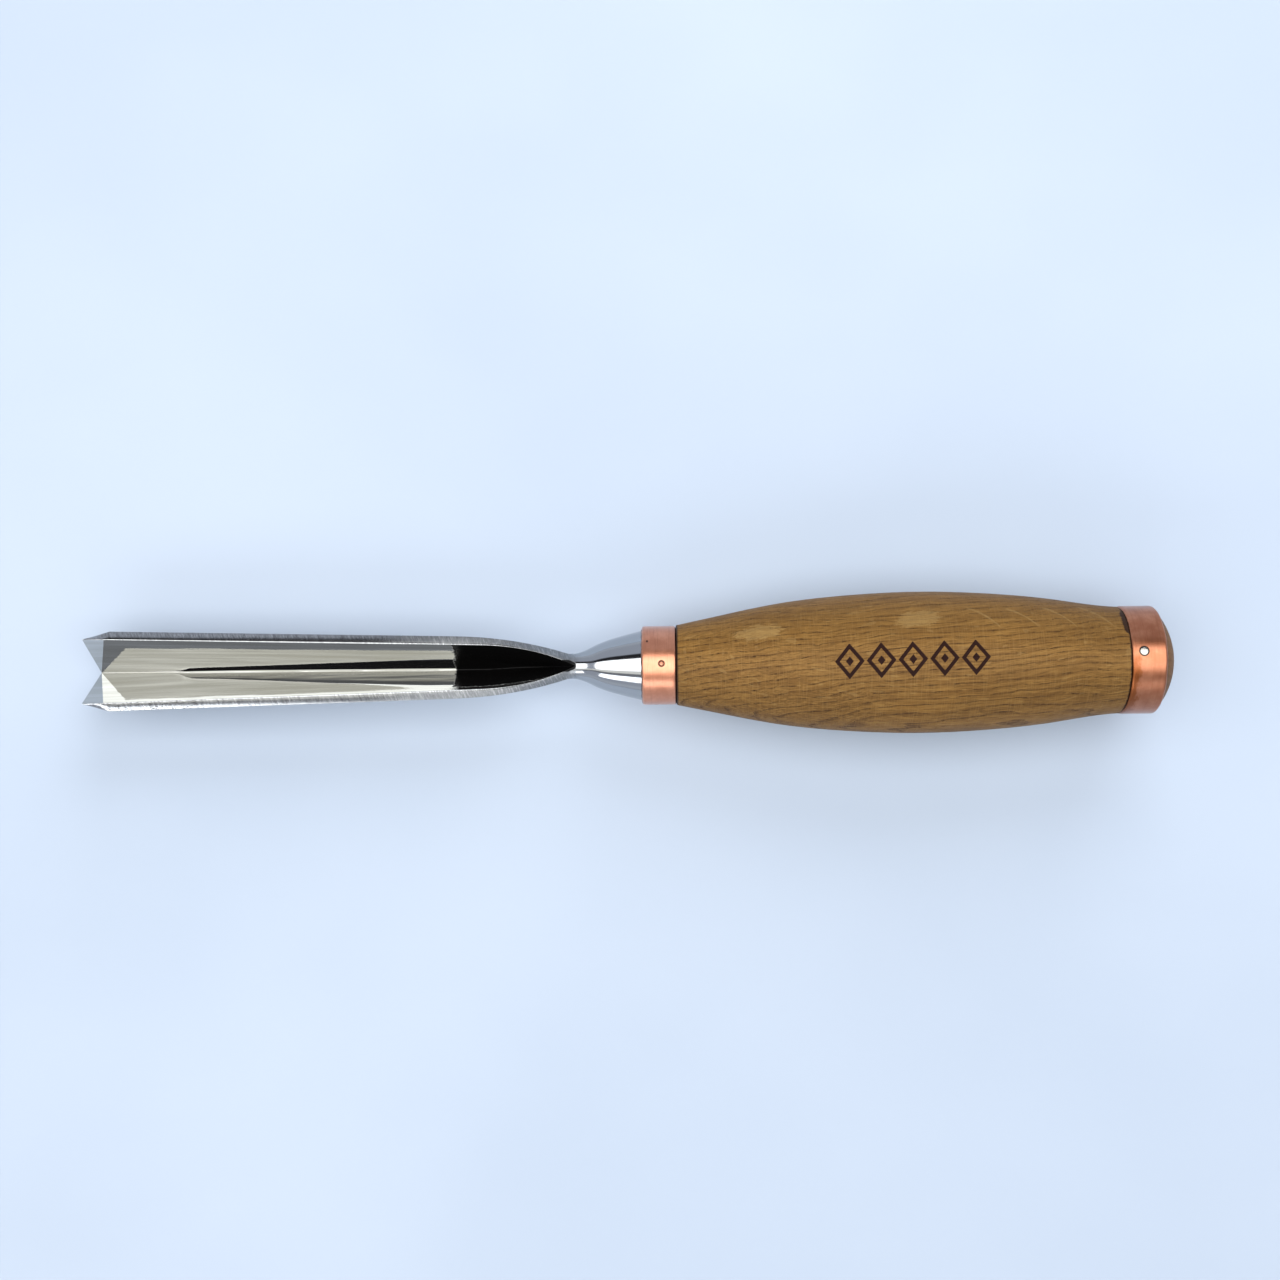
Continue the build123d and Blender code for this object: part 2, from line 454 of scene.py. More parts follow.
def add_room():
    """Grey-blue surroundings, paler at the horizon, with strips beside the ceiling light.

    lean is the angle from straight up towards the window, level the angle above the horizon,
    both in degrees. The strips run along X and fade out low down.
    """
    world = bpy.data.worlds.new("room")
    bpy.context.scene.world = world
    world.use_nodes = True
    tree = world.node_tree
    tree.nodes.clear()
    start = Val(tree)
    towards = start.node("ShaderNodeTexCoord", out="Generated")
    dx, dy, dz = [
        start.node("ShaderNodeSeparateXYZ", None, {0: towards}, out=axis) for axis in "XYZ"
    ]
    lean = (0 - dy).math("ARCTAN2", dz) * math.degrees(1)
    level = dz.math("ARCSINE") * math.degrees(1)
    colour = level.rise(4.0, 14.0).mix(rgb(0.72, 0.78, 0.88), rgb(0.58, 0.62, 0.72))
    high = level.rise(18.0, 32.0)
    colour = (lean.band(-43.0, -27.0, 1.5) * high).mix(colour, rgb(0.03, 0.03, 0.035))
    # The strip on the window's side is grey, and its upper part is pale over the blade.
    over_blade = 1 - dx.rise(-0.10, -0.05)
    colour = (lean.band(26.0, 45.0, 2.0) * high).mix(colour, rgb(0.30, 0.31, 0.34))
    colour = (lean.band(25.0, 35.5, 1.0) * over_blade * high).mix(colour, rgb(1.40, 1.38, 1.30))
    start.node(
        "ShaderNodeOutputWorld",
        None,
        {"Surface": start.node("ShaderNodeBackground", None, {"Color": colour, "Strength": 1.0})},
    )


add_floor()
add_room()
add_soft_light(
    "ceiling_light", (-0.2, 0.02, 1.0), (-0.2, 0.02, 0.0), 0.95, 2.4, 2.8, (1.0, 0.985, 0.94)
)
# The window has three panes with gaps between them, and the one over the hoop is dimmer.
for pane, middle_x, pane_length, radiance in (
    ("blade_window", -0.61, 0.68, 3.5),
    ("neck_window", -0.01, 0.22, 3.5),
    ("hoop_window", 0.47, 0.30, 1.3),
):
    add_soft_light(
        pane,
        (middle_x, -0.83, 0.56),
        (middle_x, 0.0, 0.0),
        0.33,
        pane_length,
        radiance,
        (0.97, 0.99, 1.0),
    )
add_soft_light(
    "far_light", (0.3, 1.0, 0.6), (0.0, 0.0, 0.0), 0.8, 0.8, 6.0, (0.97, 0.98, 1.0), False
)


# ---- blade -------------------------------------------------------------------------------------
def climbing_line(x, tip_z, arc_x, arc_r):
    """Height of an edge that climbs straight from the cutting edge, then on a tangent arc."""
    start_z = tip_z + (arc_x - EDGE_X) * CLIMB
    climb = math.atan(CLIMB)
    centre_x = arc_x - arc_r * math.sin(climb)
    centre_z = start_z + arc_r * math.cos(climb)
    run = np.clip(x - centre_x, 0, arc_r * 0.98)
    return np.where(
        x < arc_x, tip_z + (x - EDGE_X) * CLIMB, centre_z - np.sqrt(arc_r**2 - run**2)
    )


def nose_radius(x):
    """Radius of the turned neck: it swells from nothing at the nose, then follows the flare."""
    t = np.clip((x - NOSE_X) / (NECK_X - NOSE_X), 0, 1)
    nose = NECK_R * np.sqrt(np.maximum(1 - (1 - t) ** 2.6, 0))
    flare = spline_through(FLARE, (0.0, 0.22))(np.clip(x, NECK_X, BOLSTER_X))
    return np.where(x < NECK_X, nose, flare)


def blade_stations():
    """Stations along the blade up to the bolster's back, closer where the shape turns."""
    runs = [
        (EDGE_X, EDGE_X + 0.6, 6),
        (EDGE_X + 0.6, HEEL_X - 0.35, 10),
        (HEEL_X - 0.35, HEEL_X + 0.35, 8),
        (HEEL_X + 0.35, -60.0, 60),
        (-60.0, -36.0, 60),
        (-36.0, -21.0, 100),
        (-21.0, BOLSTER_X, 56),
        (BOLSTER_X, BOLSTER_BACK_X, 4),
    ]
    stations = [np.linspace(a, b, n, endpoint=False) for a, b, n in runs]
    return np.concatenate(stations + [[BOLSTER_BACK_X]])


WING_FALL = 1.35  # power of the fall over a wing's top
FACET_START, FACET_FULL = -142.0, -135.0  # the facet beside the bottom comes in between these
FACET_W, FACET_GROWTH = 1.25, 0.0165  # width, and what it gains per millimetre of the run below
FACET_GROW_X, FACET_GROW_RUN = -137.0, 70.0


def make_blade(finish):
    """The blade as rings across the tool, each from the keel up one side, over and back down.

    A ring's half has three runs: A up the outside from the keel, B over the wing's top, which
    falls outwards as the power WING_FALL of the distance from its inner edge, C down the trough
    to its bottom, which is a hyperbola with the two faces as asymptotes. The outside is pushed
    out to the round neck, along rays from a centre inside both shapes. The facet, which widens
    from 1.25 to 2.4 mm and then fades, is a plane laid over the +Y side of the bottom. Past the
    run-out of the trough B and C close on the crown. Three square rings make the tang and its end.
    """
    x = blade_stations()[:, None]
    slope = 1 / math.tan(V_HALF)
    trough_tip = WING_TOP_Z - OPENING_W / 2 / math.tan(TROUGH_HALF)
    trough = climbing_line(x, trough_tip, TROUGH_ARC_X, TROUGH_ARC_R)
    keel_tip = TROUGH_TIP_Z - WALL_T / math.sin(V_HALF)
    keel = climbing_line(x, keel_tip, KEEL_ARC_X, KEEL_ARC_R)
    ground = TROUGH_TIP_Z - (x - EDGE_X) * math.tan(BEVEL) / math.sin(V_HALF)
    keel = np.where(x < HEEL_X + 5, soft_most(keel, ground, 0.06), keel)
    keel[0] = TROUGH_TIP_Z
    neck = nose_radius(x)

    # drop is how far the outer edge of a wing's top lies below the inner one.
    drop = 0.98 - 0.18 * smooth_step(x, -158, -75) + 1.3 * smooth_step(x, -46, -25)
    drop = drop * smooth_step(x, EDGE_X, EDGE_X + 4)
    corner_z = WING_TOP_Z - drop

    corner_hidden = (WING_TOP_Z - keel) ** 2 / slope**2 + corner_z**2 < neck**2
    keel = np.minimum(keel, keel[corner_hidden].min())
    outer_y = (WING_TOP_Z - keel) / slope
    inner_y = np.minimum(np.maximum(WING_TOP_Z - trough, 0) * math.tan(TROUGH_HALF), outer_y)

    up = spread(44, 0.85)[None, :]
    over = spread(16, 0.55)[None, 1:]
    down = spread(44, 0.85)[None, 1:]
    a_y = outer_y * up
    a_z = keel + (corner_z - keel) * up
    b_y = outer_y + (inner_y - outer_y) * over
    b_z = WING_TOP_Z - drop * (1 - over) ** WING_FALL
    outside_y = np.concatenate([a_y, b_y], 1)
    outside_z = np.concatenate([a_z, b_z], 1)

    centre = (np.maximum(keel, -neck) + corner_z) / 2
    away_y, away_z = outside_y, outside_z - centre
    reach = np.hypot(away_y, away_z) + 1e-9
    sine = away_z / reach
    cosine = away_y / reach
    to_circle = -centre * sine + np.sqrt(np.maximum(neck**2 - (centre * cosine) ** 2, 0))
    fillet = 0.12 + 0.75 * smooth_step(-sine, -0.6, 0.3)
    pushed = np.where(neck > 1.0, soft_most(reach, to_circle, fillet), reach)
    outside_y = cosine * pushed
    outside_z = centre + sine * pushed

    bottom = 0.12 + 0.36 * smooth_step(x, EDGE_X, -110) * (1 - smooth_step(x, -45, -30))
    crown_z = outside_z[:, -1:]
    c_y = outside_y[:, -1:] * (1 - down)
    fall = np.maximum(crown_z - trough, 0)
    leg = fall * (1 - down)
    lift = np.minimum(bottom, fall * 0.5)
    too_high = np.sqrt(fall**2 + lift**2) - fall
    c_z = crown_z - fall + np.sqrt(leg**2 + lift**2) - too_high * (1 - down)
    c_z = np.where(fall > 0, c_z, crown_z)

    facet_w = FACET_W * smooth_step(x, FACET_START, FACET_FULL)
    facet_w = facet_w + FACET_GROWTH * np.clip(x - FACET_GROW_X, 0, FACET_GROW_RUN)
    facet_w = facet_w * (1 - smooth_step(x, -50, -35))
    facet_z = trough + (slope - FACET_SLOPE) * facet_w

    half_y = np.concatenate([outside_y, c_y], 1)
    half_z = np.concatenate([outside_z, c_z], 1)
    half_y[:, 0] = 0
    ring_y = np.concatenate([half_y, -half_y[:, -2:0:-1]], 1)
    ring_z = np.concatenate([half_z, half_z[:, -2:0:-1]], 1)
    in_trough = np.concatenate([np.zeros(outside_y.shape[1]), np.ones(c_y.shape[1])])
    in_trough = np.concatenate([in_trough, in_trough[-2:0:-1]])[None, :] * (facet_w > 0.02)
    faceted = soft_most(ring_z, facet_z + FACET_SLOPE * ring_y, 0.12)
    ring_z = np.where(in_trough > 0, faceted, ring_z)
    ease = smooth_step(x, EDGE_X + 0.2, EDGE_X + 2.5)
    for ring in (ring_y, ring_z, ring_y, ring_z):
        mean = (np.roll(ring, 1, 1) + np.roll(ring, -1, 1)) / 2
        ring += 0.5 * ease * (mean - ring)
    grid = np.stack([np.broadcast_to(x, ring_y.shape), ring_y, ring_z], -1)

    last_y, last_z = ring_y[-1], ring_z[-1]
    angle = np.arctan2(last_z, last_y)
    square = 1 / np.maximum(abs(np.cos(angle)), abs(np.sin(angle)))
    tang = [(BOLSTER_BACK_X, TANG_ROOT_W / 2), (TANG_END_X, TANG_END_W / 2), (TANG_END_X, 0.0)]
    outline = np.stack([np.zeros_like(angle), square * np.cos(angle), square * np.sin(angle)], -1)
    rings = [np.array([at, 0, 0]) + half * outline for at, half in tang]
    grid = np.concatenate([grid, np.array(rings)], 0)

    rows = grid.shape[0]
    count_a, count_b = up.size, over.size
    half_cols = half_y.shape[1]
    wing = np.zeros((1, half_cols))
    wing[0, count_a : count_a + count_b - 1] = 1
    wing[0, count_a - 1] = wing[0, count_a + count_b - 1] = 0.5
    inside = np.zeros((1, half_cols))
    inside[0, count_a + count_b :] = 1
    attributes = {
        key: np.concatenate([half, half[:, -2:0:-1]], 1) * np.ones((rows, 1))
        for key, half in (("wing", wing), ("inside", inside))
    }
    return piece_from_grid("gouge_blade", grid, finish, "blade", attributes)


def blade_finish():
    f = Finish("ground_and_polished_steel")
    wing = f.attribute("wing") * (1 - f.x.rise(-27.0, -21.0))
    inside = f.attribute("inside")
    plus_y = f.y.rise(-0.3, 0.3)  # 1 on the +Y wing
    # The wing tops keep their grinding marks, which run slantwise over them.
    slant = f.vector(f.x * 0.92 + f.y * 0.39, f.y * 0.92 - f.x * 0.39, f.z)
    marks = f.noise((0.38, 2.6, 2.6), 3, 0.65, place=slant)
    coarse = f.noise((0.7, 3.0, 3.0), 2, 0.5, place=slant, shift=3.1)
    waves = f.noise((26.0, 2.0, 2.0), 2, 0.5, shift=7.7)
    bands = f.noise((60.0, 1.5, 1.5), 2, 0.55, shift=4.1)
    turned = f.noise((0.12, 9.0, 9.0), 2, 0.5, shift=1.3)
    neck = f.x.rise(-33.0, -25.0)
    tang = f.x.rise(-2.7, -2.4)
    steel = inside.mix(rgb(0.40, 0.415, 0.43), rgb(0.475, 0.475, 0.455))
    steel = (bands.rise(0.46, 0.64) * inside * 0.75).mix(steel, rgb(0.545, 0.545, 0.525))
    steel = (bands.rise(0.52, 0.30) * inside * 0.5).mix(steel, rgb(0.43, 0.425, 0.39))
    steel = wing.mix(steel, rgb(0.36, 0.37, 0.375))
    steel = (wing * f.x.rise(-95.0, -52.0)).mix(steel, rgb(0.25, 0.26, 0.265))
    steel = (marks.rise(0.50, 0.64) * wing * 0.40).mix(steel, rgb(0.58, 0.58, 0.59))
    steel = (marks.rise(0.50, 0.36) * wing * 0.45).mix(steel, rgb(0.17, 0.165, 0.18))
    # Pits lie on the -Y wing near the edge, and a few stray ones on both.
    pits = f.noise((0.9, 0.26, 0.26), 1, 0.5, shift=5.5).rise(0.60, 0.66) * wing
    pits = pits * f.x.band(-157.0, -128.0, 2.0) * (1 - plus_y)
    stray = f.noise((0.7, 0.35, 0.35), 1, 0.5, shift=8.5).rise(0.70, 0.75) * wing * 0.6
    steel = (pits.most(stray) * 0.9).mix(steel, rgb(0.03, 0.028, 0.025))
    steel = tang.mix(steel, rgb(0.16, 0.15, 0.15))
    # Black lacquer is brushed into the closed end of the trough, with a little spilt on the neck.
    ragged = f.noise((1.5, 1.5, 1.5), 3, 0.65, shift=2.2) - 0.5
    front = (f.x + ragged * 2.6).rise(-57.9, -57.5)
    margin = (1 - plus_y) * (1 - f.x.rise(-42.0, -27.0)) * 1.35
    under = 1 - (f.z + margin + ragged * (1 - plus_y) * 1.4).rise(3.5, 3.7)
    spill_x, spill_y = (f.x + 26.0) / 3.0, (f.y - 0.1) / 1.75
    spill = 1 - (spill_x * spill_x + spill_y * spill_y + ragged * 0.6).rise(0.85, 1.05)
    lacquer = (inside * front * under).most(spill * f.z.rise(1.0, 1.5))
    colour = lacquer.mix(steel, rgb(0.0015, 0.0014, 0.0014))
    edge = f.z.rise(3.45, 3.56)
    rough = 0.035 + wing * (0.14 + f.x.rise(-85.0, -50.0) * 0.30) * (1 - edge * 0.7)
    rough = rough + neck * 0.05 + tang * 0.4 + lacquer * 0.22
    normal = f.bump(marks * wing + coarse * wing, 0.006)
    normal = f.bump(waves * inside * (1 - lacquer), 0.010, normal)
    normal = f.bump(turned * neck, 0.0008, normal)
    return f.done(
        {
            "Base Color": colour,
            "Metallic": 1 - lacquer,
            "Roughness": rough,
            "Specular IOR Level": 0.2,
            "Normal": normal,
        }
    )


make_blade(blade_finish())

# ---- handle ------------------------------------------------------------------------------------
ORNAMENT_X, ORNAMENT_HALF = 67.9, 21.0
ORNAMENT_TURN = 1.0  # degrees round the barrel from straight up, towards +Y
ORNAMENT_TILT = 0.021
ORNAMENT_DEPTH = 0.12
LOZENGES, LOZENGE_HALF_W = 5, 4.9


def burn_depth(x, arc):
    """How deep the burned ornament is, 0 to 1: a row of hollow lozenges with a dot in each.

    shape is |u| + |v|, each in units of the lozenge's own half axis, so 1 is its outline.
    """
    cell = 2 * ORNAMENT_HALF / LOZENGES
    along = x - ORNAMENT_X
    v = arc - along * ORNAMENT_TILT
    u = (along + ORNAMENT_HALF) % cell - cell / 2
    shape = abs(u) / (cell * 0.47) + abs(v) / LOZENGE_HALF_W
    line = smooth_step(shape, 0.66, 0.70) * (1 - smooth_step(shape, 0.97, 1.01))
    dot = 1 - smooth_step(shape, 0.24, 0.28)
    return np.maximum(line, dot) * (abs(along) < ORNAMENT_HALF)


def make_handle(finish):
    """The turned handle: the barrel's spline, the ring seats, the domed butt and the tang's hole.

    Rows are stations of the side view, columns are turns round the axis, closer together at the
    ornament, which is sunk into the barrel.
    """
    barrel = spline_through(BARREL, BARREL_SLOPES)
    seat_r = FERRULE_R - RING_WALL
    hoop_seat_r = HOOP_R - RING_WALL
    hole = [
        (TANG_HOLE[2][0], 0.0),
        (TANG_HOLE[2][0], TANG_HOLE[2][1]),
        (TANG_HOLE[1][0], TANG_HOLE[2][1]),
        (TANG_HOLE[1][0], TANG_HOLE[1][1]),
        (TANG_HOLE[0][0], TANG_HOLE[1][1]),
        (TANG_HOLE[0][0], TANG_HOLE[0][1]),
        (WOOD_FRONT_X, TANG_HOLE[0][1]),
        (WOOD_FRONT_X, seat_r),
        (FERRULE_BACK_X, seat_r),
        (FERRULE_BACK_X, BARREL[0][1] - 0.25),
    ]
    low, high = ORNAMENT_X - ORNAMENT_HALF - 0.6, ORNAMENT_X + ORNAMENT_HALF + 0.6
    stations = np.concatenate(
        [
            np.linspace(FERRULE_BACK_X + 0.25, 8.0, 8, endpoint=False),
            np.linspace(8.0, low, 44, endpoint=False),
            np.linspace(low, high, 230, endpoint=False),
            np.linspace(high, 120.0, 36, endpoint=False),
            np.linspace(120.0, HOOP_X - 0.2, 12),
        ]
    )
    rise = BUTT_X - HOOP_END_X
    dome_r = (hoop_seat_r**2 + rise**2) / (2 * rise)
    tip = np.linspace(math.asin(hoop_seat_r / dome_r), 0, 26)
    rear = [(HOOP_X, BARREL[-1][1] - 0.2), (HOOP_X, hoop_seat_r)]
    wood = np.stack([stations, barrel(stations)], -1)
    dome = np.stack([BUTT_X - dome_r + dome_r * np.cos(tip), dome_r * np.sin(tip)], -1)
    side_x, side_r = np.concatenate([hole, wood, rear, dome]).T
    is_barrel = np.zeros(side_x.size)
    is_barrel[len(hole) : len(hole) + stations.size] = 1

    near = math.radians(17)
    off_turn = np.concatenate(
        [
            np.linspace(-near, near, 76, endpoint=False),
            np.linspace(near, 2 * math.pi - near, 104, endpoint=False),
        ]
    )
    turn = off_turn + math.radians(ORNAMENT_TURN)
    arc = np.arctan2(np.sin(off_turn), np.cos(off_turn))
    x = side_x[:, None] * np.ones_like(turn)
    burn = burn_depth(x, arc[None, :] * side_r[:, None]) * is_barrel[:, None]
    burn = burn * (abs(arc[None, :]) < near)
    r = side_r[:, None] - ORNAMENT_DEPTH * burn
    grid = np.stack([x, r * np.sin(turn), r * np.cos(turn)], -1)
    return piece_from_grid("handle_wood", grid, finish, "handle", {"burn": burn})


def oak_finish():
    f = Finish("oiled_oak")
    # Directions across the growth rings and along the rays, in a section of the blank.
    wander = f.noise((34.0, 9.0, 9.0), 3, 0.55) - 0.5
    ring_way = f.y * -0.94 + f.z * 0.34 + f.x * 0.075
    ray_way = f.y * 0.34 + f.z * 0.94
    depth = ring_way - ray_way * ray_way * 0.008 + wander * 5.0
    rings = (depth / 1.75).math("FRACT")
    early = ((1 - rings.rise(0.0, 0.30)) + rings.rise(0.95, 1.0)).least(1.0)
    grain_place = f.vector(f.x, depth, ray_way)
    fibre = f.noise((8.0, 0.35, 0.5), 3, 0.65, place=grain_place)
    streak = f.noise((24.0, 1.3, 2.4), 2, 0.5, place=grain_place, shift=4.0)
    pores = f.noise((3.4, 0.26, 0.34), 2, 0.6, place=grain_place, shift=9.0)
    dashes = f.noise((5.0, 0.55, 0.7), 2, 0.6, place=grain_place, shift=15.0)
    broad = f.noise((38.0, 12.0, 12.0), 2, 0.5, shift=6.0)
    sanding = f.noise((0.22, 6.0, 6.0), 2, 0.5, shift=8.0)
    speck = f.noise((2.0, 0.8, 0.8), 3, 0.7, shift=11.0)

    colour = broad.rise(0.3, 0.7).mix(rgb(0.110, 0.052, 0.0110), rgb(0.158, 0.077, 0.0165))
    colour = (fibre.rise(0.38, 0.66) * 0.62).mix(colour, rgb(0.225, 0.120, 0.030))
    colour = (streak.rise(0.46, 0.68) * 0.55).mix(colour, rgb(0.090, 0.040, 0.0072))
    colour = (early * dashes.rise(0.32, 0.55) * 0.85).mix(colour, rgb(0.062, 0.026, 0.0045))
    dark_pores = pores.rise(0.54, 0.61) * (0.35 + early * 0.65)
    colour = (dark_pores * 0.85).mix(colour, rgb(0.022, 0.0085, 0.0020))
    colour = (sanding.rise(0.45, 0.75) * 0.16).mix(colour, rgb(0.30, 0.185, 0.062))
    # Where the surface cuts the rays it shows pale flakes: two broad ones and a row of arcs.
    flakes = None
    for at_x, at_y, half_x, half_y in ((27.5, 8.2, 6.5, 2.1), (70.0, 11.3, 6.0, 2.3)):
        u = (f.x - at_x) / half_x
        v = (f.y - at_y - (f.x - at_x) * 0.12) / half_y
        flake = 1 - (u * u + v * v + (speck - 0.5) * 2.6 + (dashes - 0.5) * 1.5).rise(0.55, 1.25)
        flakes = flake if flakes is None else flakes.most(flake)
    along = ((f.x - 82.0) / 10.5).math("FRACT")
    off = abs(f.y - 14.2 + along * along * 6.0 + (broad - 0.5) * 1.5 + (speck - 0.5) * 0.6)
    arcs = (1 - off.rise(0.12, 0.42)) * f.x.band(83.0, 124.0, 0.8) * along.band(0.15, 0.93, 0.06)
    small = f.noise((5.0, 2.6, 0.6), 1, 0.45, place=grain_place, shift=12.0).rise(0.66, 0.72)
    upper = f.z.rise(0.0, 4.0)
    pale = (flakes * (0.12 + fibre * 0.55)).most(arcs * (streak * 0.62)) * upper
    pale = pale.most(small * 0.16)
    colour = pale.mix(colour, rgb(0.33, 0.215, 0.080))
    # Painted shade darkens the +Y side of the barrel; the barrel is also darker towards the hoop.
    painted_shade_and_rear_tone = f.y.rise(0.0, 14.0) * 0.36 + f.x.rise(70.0, 125.0) * 0.14
    colour = painted_shade_and_rear_tone.mix(colour, rgb(0.070, 0.036, 0.0085))
    burn = f.attribute("burn")
    colour = burn.rise(0.15, 0.65).mix(colour, rgb(0.0125, 0.0030, 0.0015))
    near_ring = 1 - f.x.rise(4.9, 5.5)
    # Glue has squeezed out before the hoop, further on the +Y side.
    squeezed = f.x + (speck - 0.5) * 1.2 + f.y.band(7.0, 13.0, 0.8) * f.z.rise(0.0, 3.0)
    near_hoop = squeezed.rise(HOOP_X - 0.55, HOOP_X - 0.15)
    near_hoop = near_hoop * (1 - f.x.rise(HOOP_END_X - 0.1, HOOP_END_X + 0.3))
    colour = near_ring.most(near_hoop * 0.93).mix(colour, rgb(0.014, 0.0055, 0.003))
    # End grain drinks more oil, so the butt is darker.
    butt = f.x.rise(HOOP_END_X - 0.2, HOOP_END_X + 0.2)
    colour = (butt * (0.35 + speck * 0.4)).mix(colour, rgb(0.100, 0.038, 0.007))
    height = dark_pores * -1.0 + fibre * 0.35 + sanding * 0.4 - early * dashes * 0.4
    rough = 0.50 + dark_pores * 0.2 + burn * 0.25 - pale * 0.06
    return f.done(
        {
            "Base Color": colour,
            "Roughness": rough,
            "Normal": f.bump(height, 0.035),
            "Specular IOR Level": 0.15,
        }
    )


make_handle(oak_finish())


# ---- copper rings ------------------------------------------------------------------------------
def make_ring(name, node, front, back, outer, finish, wave):
    """A copper tube end: closed section with rounded outer edges, carried round the axis.

    The ends wander along X by a few hundredths of a millimetre, as a sawn and filed tube does.
    """
    edge = np.radians(np.linspace(0, 90, 7))
    round_x = RING_EDGE_R * (1 - np.cos(edge))
    round_r = outer - RING_EDGE_R * (1 - np.sin(edge))
    body = np.linspace(front + RING_EDGE_R, back - RING_EDGE_R, 12)[1:-1]
    bore = outer - RING_WALL
    side_x = np.concatenate([front + round_x, body, back - round_x[::-1], [back, front]])
    side_r = np.concatenate([round_r, np.full(body.size, outer), round_r[::-1], [bore, bore]])
    turn = np.linspace(0, 2 * math.pi, 240, endpoint=False)
    middle = (front + back) / 2
    lean = (side_x - middle) / (back - middle)
    wander = np.sin(3 * turn + 0.8) + 0.6 * np.sin(7 * turn) + 0.5 * np.sin(13 * turn + 2.0)
    x = side_x[:, None] + lean[:, None] ** 3 * wave * wander[None, :]
    r = side_r[:, None] * np.ones_like(turn)
    grid = np.stack([x, r * np.sin(turn), r * np.cos(turn)], -1)
    return piece_from_grid(name, grid, finish, node, wrap_rows=True)


def copper_finish(name, pin, is_hoop):
    """Brushed copper tube. The pin's joint is a dark ring round its head."""
    f = Finish(name)
    lines = f.noise((0.09, 7.0, 7.0), 3, 0.6)
    broad_lines = f.noise((0.5, 9.0, 9.0), 2, 0.6, shift=9.0)
    patches = f.noise((3.0, 3.0, 3.0), 3, 0.6, shift=2.0)
    blotch = f.noise((1.1, 1.8, 1.8), 2, 0.5, shift=5.0)
    if is_hoop:
        light, base = rgb(0.50, 0.205, 0.110), rgb(0.41, 0.150, 0.075)
        dark = rgb(0.28, 0.094, 0.042)
    else:
        light, base = rgb(0.67, 0.285, 0.165), rgb(0.59, 0.235, 0.130)
        dark = rgb(0.42, 0.155, 0.085)
    colour = patches.rise(0.35, 0.7).mix(base, light)
    colour = (lines.rise(0.48, 0.78) * 0.45).mix(colour, dark)
    colour = (broad_lines.rise(0.5, 0.7) * 0.3).mix(colour, dark)
    soot = rgb(0.02, 0.010, 0.007)
    if is_hoop:
        # The -Y half is darker and browner all over, and old finish and glue have browned the side
        # next to the wood, mostly on the -Y half.
        low = 1 - (f.y + (blotch - 0.5) * 4.0).rise(-3.0, 3.0)
        side = 1 - (f.x + (blotch - 0.5) * 3.2).rise(HOOP_X + 1.3, HOOP_X + 2.9)
        colour = (low * 0.35).mix(colour, rgb(0.26, 0.10, 0.05))
        colour = (side * low * 0.85).mix(colour, rgb(0.23, 0.060, 0.009))
        rim = (1 - f.x.rise(HOOP_X, HOOP_X + 0.22)) + f.x.rise(HOOP_END_X - 0.25, HOOP_END_X)
        colour = (rim * 0.7).mix(colour, soot)
    else:
        specks = f.noise((0.6, 0.6, 0.6), 2, 0.6, shift=3.0).rise(0.44, 0.54)
        rim = 1 - f.x.rise(FERRULE_FRONT_X, FERRULE_FRONT_X + 0.4)
        rim = (rim * specks).most(f.x.rise(FERRULE_BACK_X - 0.30, FERRULE_BACK_X - 0.12))
        colour = (rim * 0.92).mix(colour, soot)
        bite_x, bite_y = f.x + 3.2, f.y - 6.4
        bite = 1 - (bite_x * bite_x + bite_y * bite_y).rise(0.05, 0.14)
        colour = (bite * f.z.rise(0.0, 1.0) * 0.85).mix(colour, soot)
    joint = 1 - f.away(pin).rise(pin["head"] + 0.02, pin["head"] + 0.22)
    joint = joint * f.z.rise(0.0, 1.0)
    colour = (joint * 0.9).mix(colour, soot)
    rough = 0.25 + patches * 0.12
    normal = f.bump(lines, 0.006)
    normal = f.bump(patches, 0.02, normal)
    # A thin clear lacquer keeps the copper bright.
    return f.done(
        {
            "Base Color": colour,
            "Metallic": 1.0,
            "Roughness": rough,
            "Coat Weight": 0.25 if is_hoop else 0.6,
            "Coat Roughness": 0.22,
            "Normal": normal,
        }
    )


make_ring(
    "ferrule_copper",
    "front_ferrule",
    FERRULE_FRONT_X,
    FERRULE_BACK_X,
    FERRULE_R,
    copper_finish("brushed_copper_ferrule", FERRULE_PIN, False),
    0.03,
)
make_ring(
    "hoop_copper",
    "end_hoop",
    HOOP_X,
    HOOP_END_X,
    HOOP_R,
    copper_finish("brushed_copper_hoop", HOOP_PIN, True),
    0.05,
)


# ---- pins --------------------------------------------------------------------------------------
def make_pin(name, node, pin, finish):
    """A round pin that points at the axis: a low dome for a head, on a straight blunt shank.

    The dome's height falls off as the power 2.4 of the distance from its middle.
    """
    shank, length, crown = pin["shank"], pin["length"], pin["crown"]
    out = np.linspace(0, 1, 9)[1:]
    side_r = np.concatenate([[0], pin["head"] * out, [shank, shank, 0]])
    side_h = np.concatenate([[crown], crown * (1 - out**2.4), [0, -length, -length]])
    side_h = side_h + pin["seat"]
    round_turn = np.linspace(0, 2 * math.pi, 48, endpoint=False)
    angle = math.radians(pin["turn"])
    axis = np.array([0, math.sin(angle), math.cos(angle)])
    one = np.array([1.0, 0, 0])
    two = np.cross(axis, one)
    ring = np.cos(round_turn)[:, None] * one + np.sin(round_turn)[:, None] * two
    grid = side_r[:, None, None] * ring[None] + side_h[:, None, None] * axis
    grid = grid + np.array([pin["x"], 0, 0])
    return piece_from_grid(name, grid, finish, node)


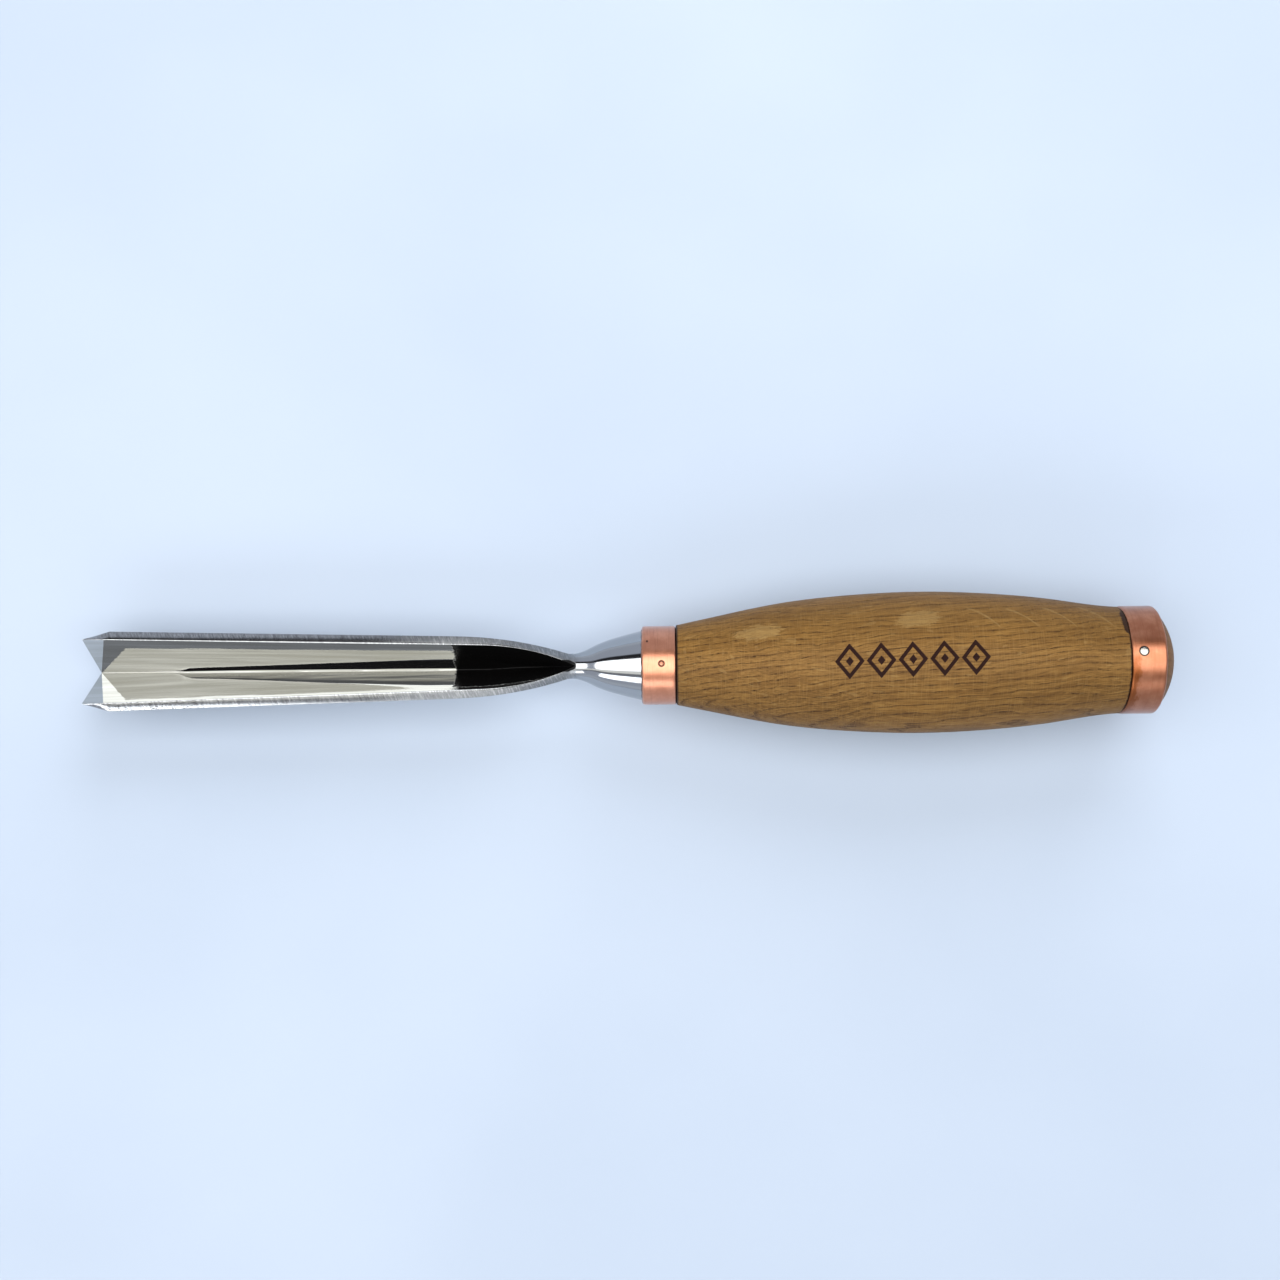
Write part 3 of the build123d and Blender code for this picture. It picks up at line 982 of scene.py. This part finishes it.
def pin_steel():
    f = Finish("filed_pin_steel")
    marks = f.noise((0.25, 0.25, 0.25), 3, 0.6)
    colour = marks.rise(0.35, 0.7).mix(rgb(0.42, 0.40, 0.35), rgb(0.62, 0.60, 0.55))
    rim = f.away(HOOP_PIN).rise(0.90, 1.12) * 0.93
    colour = rim.mix(colour, rgb(0.03, 0.022, 0.015))
    return f.done(
        {"Base Color": colour, "Metallic": 1.0, "Roughness": 0.22, "Normal": f.bump(marks, 0.04)}
    )


def pin_copper():
    f = Finish("filed_pin_end")
    marks = f.noise((0.2, 0.2, 0.2), 3, 0.6)
    colour = marks.rise(0.40, 0.6).mix(rgb(0.22, 0.07, 0.045), rgb(0.55, 0.27, 0.17))
    rim = f.away(FERRULE_PIN).rise(0.35, 0.62) * 0.93
    colour = rim.mix(colour, rgb(0.05, 0.018, 0.012))
    return f.done(
        {"Base Color": colour, "Metallic": 1.0, "Roughness": 0.33, "Normal": f.bump(marks, 0.03)}
    )


make_pin("ferrule_pin_head", "ferrule_pin", FERRULE_PIN, pin_copper())
make_pin("hoop_pin_head", "hoop_pin", HOOP_PIN, pin_steel())


# ---- glue --------------------------------------------------------------------------------------
def glue_finish():
    f = Finish("cured_dark_glue")
    lumps = f.noise((0.5, 0.5, 0.5), 3, 0.6)
    colour = lumps.rise(0.3, 0.7).mix(rgb(0.012, 0.008, 0.006), rgb(0.06, 0.03, 0.015))
    return f.done(
        {"Base Color": colour, "Roughness": 0.35 + lumps * 0.2, "Normal": f.bump(lumps, 0.05)}
    )


def make_mouth_glue(finish):
    """A ragged bead in the ferrule's mouth: a small round section carried round the bolster."""
    turn = np.linspace(0, 2 * math.pi, 360, endpoint=False)
    section = np.linspace(0, 2 * math.pi, 10, endpoint=False)[:, None]
    swell = 0.5 + 0.5 * np.sin(5 * turn + 1.0) * np.sin(11 * turn) + 0.35 * np.sin(23 * turn + 0.5)
    size = 0.16 + 0.12 * np.clip(swell, 0, 1)
    r = 9.98 + 0.16 * np.cos(section)
    x = FERRULE_FRONT_X + 0.12 - size[None, :] * np.sin(section)
    grid = np.stack([x, r * np.sin(turn), r * np.cos(turn)], -1)
    return piece_from_grid("mouth_glue", grid, finish, None, wrap_rows=True)


GLUE = glue_finish()
make_mouth_glue(GLUE)
hidden_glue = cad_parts["tang_adhesive"]
hidden_glue.data.materials.clear()
hidden_glue.data.materials.append(GLUE)
